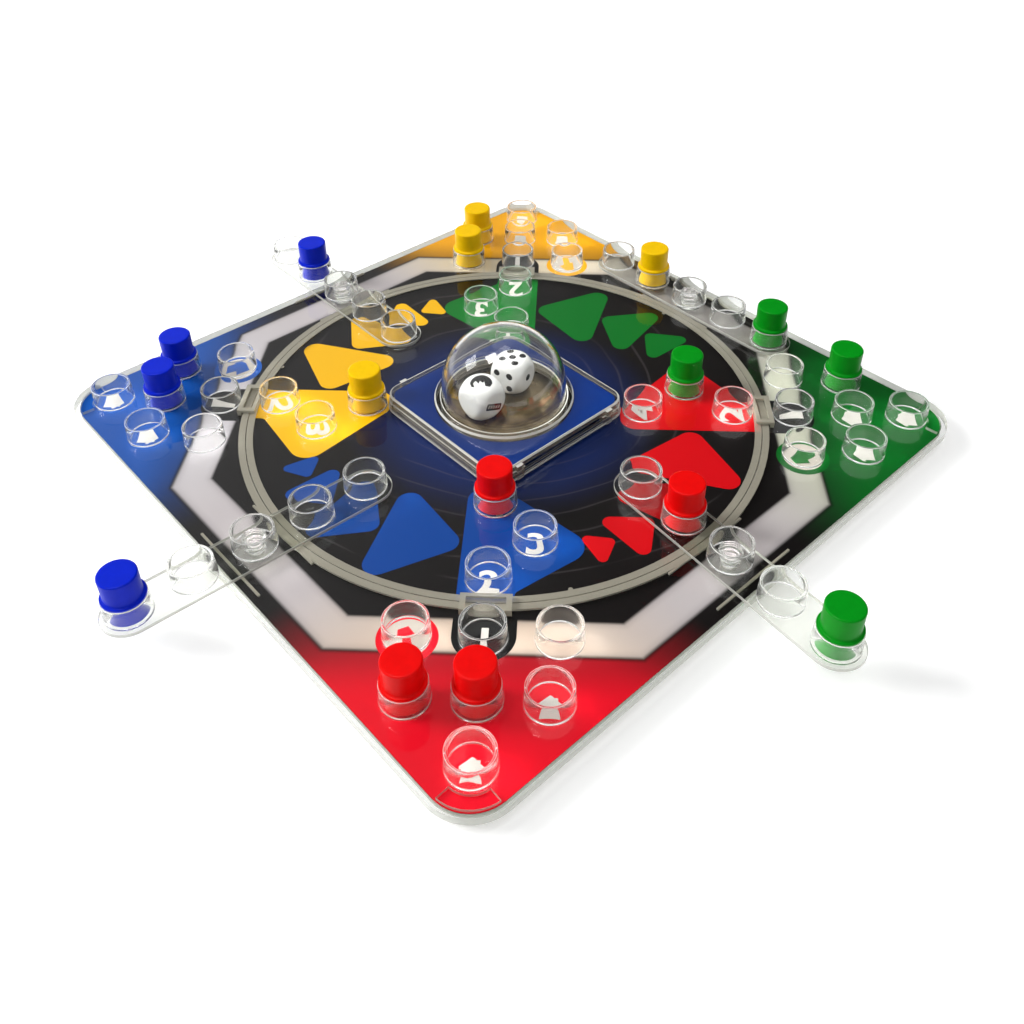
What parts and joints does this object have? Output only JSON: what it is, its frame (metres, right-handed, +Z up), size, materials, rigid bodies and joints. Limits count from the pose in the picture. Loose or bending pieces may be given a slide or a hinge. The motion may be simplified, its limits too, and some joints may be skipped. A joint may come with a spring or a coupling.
{
  "type": "pop-up dice board game",
  "caption": "Square clear-topped board game with a turntable, swing arms, lift-out pegs and a press-dome dice popper at its centre.",
  "frame": {"origin": "centre of the tray's flat underside", "axes": "+Z up through the dome; X and Y run along the sides of the board; the camera of the picture looks from +X and -Y"},
  "size_m": [0.3344, 0.2953, 0.0451],
  "materials": {
    "clear_plastic": "clear moulded plastic, polished",
    "tray_plastic": "off-white moulded plastic",
    "red_plastic": "coloured moulded plastic, satin",
    "green_plastic": "coloured moulded plastic, satin",
    "yellow_plastic": "coloured moulded plastic, satin",
    "blue_plastic": "coloured moulded plastic, satin",
    "dice_plastic": "white plastic with printed faces",
    "printed_sheet": "printed sheet seen through clear plastic",
    "printed_card": "printed card under the clear housing",
    "plate_metal": "thin pressed metal, warm reflections",
    "bright_steel": "plain steel"
  },
  "bodies": {
    "board": {"base_tray": "tray_plastic", "print_sheet": "printed_sheet", "deck_cover": "clear_plastic", "deck_cups_red": "clear_plastic", "deck_cups_green": "clear_plastic", "deck_cups_yellow": "clear_plastic", "deck_cups_blue": "clear_plastic", "ring_clips": "clear_plastic", "arm_pivot_south": "clear_plastic", "arm_pivot_east": "clear_plastic", "arm_pivot_north": "clear_plastic", "arm_pivot_west": "clear_plastic"},
    "turntable": {"turntable_base": "tray_plastic", "disc_print": "printed_sheet", "disc_cover": "clear_plastic", "disc_cups": "clear_plastic", "popper_pan": "tray_plastic", "popper_housing": "clear_plastic", "housing_insert": "printed_card", "housing_screws": "bright_steel", "click_spring": "bright_steel"},
    "dome": {"press_dome": "clear_plastic"},
    "plate": {"click_plate": "plate_metal"},
    "first_die": {"pip_die": "dice_plastic"},
    "second_die": {"symbol_die": "dice_plastic"},
    "south_arm": {"arm_strip_south": "clear_plastic", "arm_cups_south": "clear_plastic"},
    "east_arm": {"arm_strip_east": "clear_plastic", "arm_cups_east": "clear_plastic"},
    "north_arm": {"arm_strip_north": "clear_plastic", "arm_cups_north": "clear_plastic"},
    "west_arm": {"arm_strip_west": "clear_plastic", "arm_cups_west": "clear_plastic"},
    "peg_red_1": {"peg_red_1": "red_plastic"},
    "peg_red_2": {"peg_red_2": "red_plastic"},
    "peg_red_3": {"peg_red_3": "red_plastic"},
    "peg_red_4": {"peg_red_4": "red_plastic"},
    "peg_green_1": {"peg_green_1": "green_plastic"},
    "peg_green_2": {"peg_green_2": "green_plastic"},
    "peg_green_3": {"peg_green_3": "green_plastic"},
    "peg_green_4": {"peg_green_4": "green_plastic"},
    "peg_yellow_1": {"peg_yellow_1": "yellow_plastic"},
    "peg_yellow_2": {"peg_yellow_2": "yellow_plastic"},
    "peg_yellow_3": {"peg_yellow_3": "yellow_plastic"},
    "peg_yellow_4": {"peg_yellow_4": "yellow_plastic"},
    "peg_blue_1": {"peg_blue_1": "blue_plastic"},
    "peg_blue_2": {"peg_blue_2": "blue_plastic"},
    "peg_blue_3": {"peg_blue_3": "blue_plastic"},
    "peg_blue_4": {"peg_blue_4": "blue_plastic"}
  },
  "joints": [
    {"name": "turntable_turn", "type": "hinge", "parent": "board", "child": "turntable", "pos_m": [0, 0, 0.0016], "axis": [0, 0, 1], "range_deg": [-30, 18]},
    {"name": "south_arm_swing", "type": "hinge", "parent": "board", "child": "south_arm", "pos_m": [0, -0.1132, 0.0091], "axis": [0, 0, 1], "continuous": true},
    {"name": "east_arm_swing", "type": "hinge", "parent": "board", "child": "east_arm", "pos_m": [0.1132, 0, 0.0091], "axis": [0, 0, 1], "continuous": true},
    {"name": "north_arm_swing", "type": "hinge", "parent": "board", "child": "north_arm", "pos_m": [0, 0.1132, 0.0091], "axis": [0, 0, 1], "continuous": true},
    {"name": "west_arm_swing", "type": "hinge", "parent": "board", "child": "west_arm", "pos_m": [-0.1132, 0, 0.0091], "axis": [0, 0, 1], "continuous": true},
    {"name": "dome_press", "type": "slide", "parent": "turntable", "child": "dome", "axis": [0, 0, -1], "range_m": [0, 0.0025], "stiffness_N_per_m": 3000, "springref_m": -0.001},
    {"name": "plate_press", "type": "slide", "parent": "turntable", "child": "plate", "axis": [0, 0, -1], "range_m": [0, 0.0025], "stiffness_N_per_m": 1000, "springref_m": -0.001, "deforming": ["click_spring"]},
    {"name": "first_die_hop", "type": "slide", "parent": "plate", "child": "first_die", "axis": [0, 0, 1], "range_m": [0, 0.008]},
    {"name": "second_die_hop", "type": "slide", "parent": "plate", "child": "second_die", "axis": [0, 0, 1], "range_m": [0, 0.008]},
    {"name": "peg_red_1_lift", "type": "slide", "parent": "board", "child": "peg_red_1", "axis": [0, 0, 1], "range_m": [0, 0.045]},
    {"name": "peg_red_2_lift", "type": "slide", "parent": "board", "child": "peg_red_2", "axis": [0, 0, 1], "range_m": [0, 0.045]},
    {"name": "peg_red_3_lift", "type": "slide", "parent": "turntable", "child": "peg_red_3", "axis": [0, 0, 1], "range_m": [0, 0.045]},
    {"name": "peg_red_4_lift", "type": "slide", "parent": "east_arm", "child": "peg_red_4", "axis": [0, 0, 1], "range_m": [0, 0.045]},
    {"name": "peg_green_1_lift", "type": "slide", "parent": "board", "child": "peg_green_1", "axis": [0, 0, 1], "range_m": [0, 0.045]},
    {"name": "peg_green_2_lift", "type": "slide", "parent": "turntable", "child": "peg_green_2", "axis": [0, 0, 1], "range_m": [0, 0.045]},
    {"name": "peg_green_3_lift", "type": "slide", "parent": "east_arm", "child": "peg_green_3", "axis": [0, 0, 1], "range_m": [0, 0.045]},
    {"name": "peg_green_4_lift", "type": "slide", "parent": "north_arm", "child": "peg_green_4", "axis": [0, 0, 1], "range_m": [0, 0.045]},
    {"name": "peg_yellow_1_lift", "type": "slide", "parent": "board", "child": "peg_yellow_1", "axis": [0, 0, 1], "range_m": [0, 0.045]},
    {"name": "peg_yellow_2_lift", "type": "slide", "parent": "board", "child": "peg_yellow_2", "axis": [0, 0, 1], "range_m": [0, 0.045]},
    {"name": "peg_yellow_3_lift", "type": "slide", "parent": "turntable", "child": "peg_yellow_3", "axis": [0, 0, 1], "range_m": [0, 0.045]},
    {"name": "peg_yellow_4_lift", "type": "slide", "parent": "north_arm", "child": "peg_yellow_4", "axis": [0, 0, 1], "range_m": [0, 0.045]},
    {"name": "peg_blue_1_lift", "type": "slide", "parent": "board", "child": "peg_blue_1", "axis": [0, 0, 1], "range_m": [0, 0.045]},
    {"name": "peg_blue_2_lift", "type": "slide", "parent": "board", "child": "peg_blue_2", "axis": [0, 0, 1], "range_m": [0, 0.045]},
    {"name": "peg_blue_3_lift", "type": "slide", "parent": "south_arm", "child": "peg_blue_3", "axis": [0, 0, 1], "range_m": [0, 0.045]},
    {"name": "peg_blue_4_lift", "type": "slide", "parent": "west_arm", "child": "peg_blue_4", "axis": [0, 0, 1], "range_m": [0, 0.045]}
  ],
  "couplings": [
    {"joint": "plate_press", "follows": "dome_press", "ratio": 1}
  ]
}
